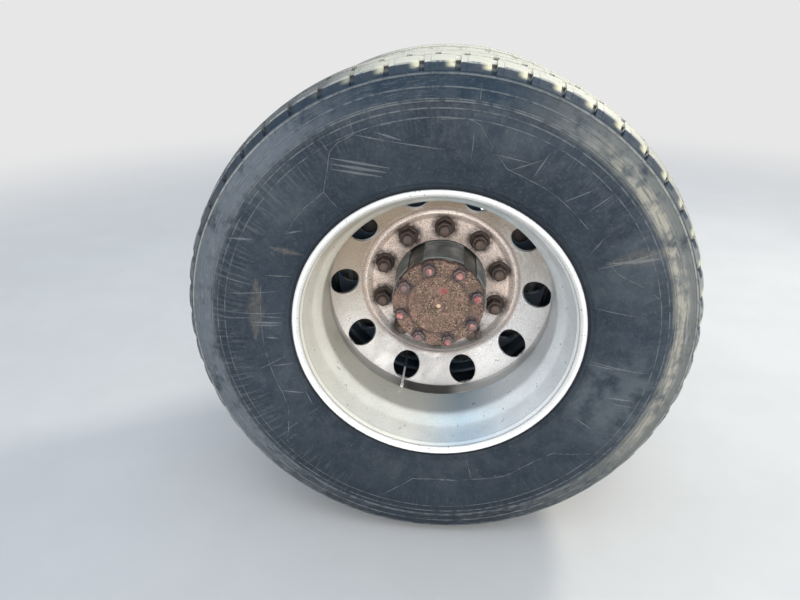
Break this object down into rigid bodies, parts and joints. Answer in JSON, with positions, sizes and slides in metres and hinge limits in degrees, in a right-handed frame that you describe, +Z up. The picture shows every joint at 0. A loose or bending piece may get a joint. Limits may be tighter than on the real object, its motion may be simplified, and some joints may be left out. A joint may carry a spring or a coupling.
{
  "type": "truck dual drive wheel end",
  "caption": "Dual rear drive wheel of a heavy truck on its hub, brake drum and axle shaft, spinning on a stub of axle with its S-cam drum brake.",
  "frame": {"origin": "centre of the axle tube's inboard end, on the spin axis, where the rest of the axle holds it", "axes": "+Z up, +X towards the vehicle's front, -Y outboard along the spin axis, +Y along the axle tube's end"},
  "size_m": [1.062, 1.0172, 1.0618],
  "materials": {
    "tyre_rubber": "worn, dusty black rubber",
    "wheel_paint": "weathered silver-grey wheel paint with rust bleeding at the bolts",
    "hub_casting": "greasy grey-green casting",
    "drum_iron": "dark cast iron with surface rust",
    "rusty_fasteners": "dark rusty steel",
    "rusty_forging": "rusty forged steel with grit",
    "flange_fasteners": "rusty steel with remains of red paint on the tips",
    "valve_metal": "bright nickel plate",
    "bearing_steel": "ground bearing steel",
    "axle_paint": "black chassis paint, dusty",
    "shoe_paint": "rusty primer",
    "lining": "moulded friction material",
    "bare_steel": "greased bare steel",
    "spring_steel": "dark spring steel",
    "chamber_paint": "black paint, dusty",
    "zinc_steel": "dull zinc plate"
  },
  "bodies": {
    "axle_end": {"axle_housing": "axle_paint", "spindle_nut": "bearing_steel", "brake_spider": "axle_paint", "spider_bolts": "rusty_fasteners", "shoe_upper": "shoe_paint", "shoe_lower": "shoe_paint", "lining_upper": "lining", "lining_lower": "lining", "anchor_pins": "bare_steel", "cam_rollers": "bare_steel", "camshaft": "bare_steel", "cam_tube": "axle_paint", "return_spring": "spring_steel", "slack_adjuster": "chamber_paint", "push_rod": "zinc_steel", "service_chamber": "chamber_paint", "spring_chamber": "chamber_paint", "chamber_band": "zinc_steel", "chamber_nuts": "rusty_fasteners", "chamber_bracket": "axle_paint"},
    "wheel": {"tyre_outer": "tyre_rubber", "tyre_inner": "tyre_rubber", "rim_outer": "wheel_paint", "rim_inner": "wheel_paint", "disc_outer": "wheel_paint", "disc_inner": "wheel_paint", "hub": "hub_casting", "brake_drum": "drum_iron", "wheel_studs": "rusty_fasteners", "wheel_nuts": "rusty_fasteners", "axle_shaft": "rusty_forging", "shaft_studs": "flange_fasteners", "valve_outer": "valve_metal", "valve_inner": "valve_metal", "bearing_outer": "bearing_steel", "bearing_inner": "bearing_steel"}
  },
  "joints": [
    {"name": "wheel_spin", "type": "hinge", "parent": "axle_end", "child": "wheel", "pos_m": [0, -0.64, 0], "axis": [0, 1, 0], "continuous": true}
  ]
}
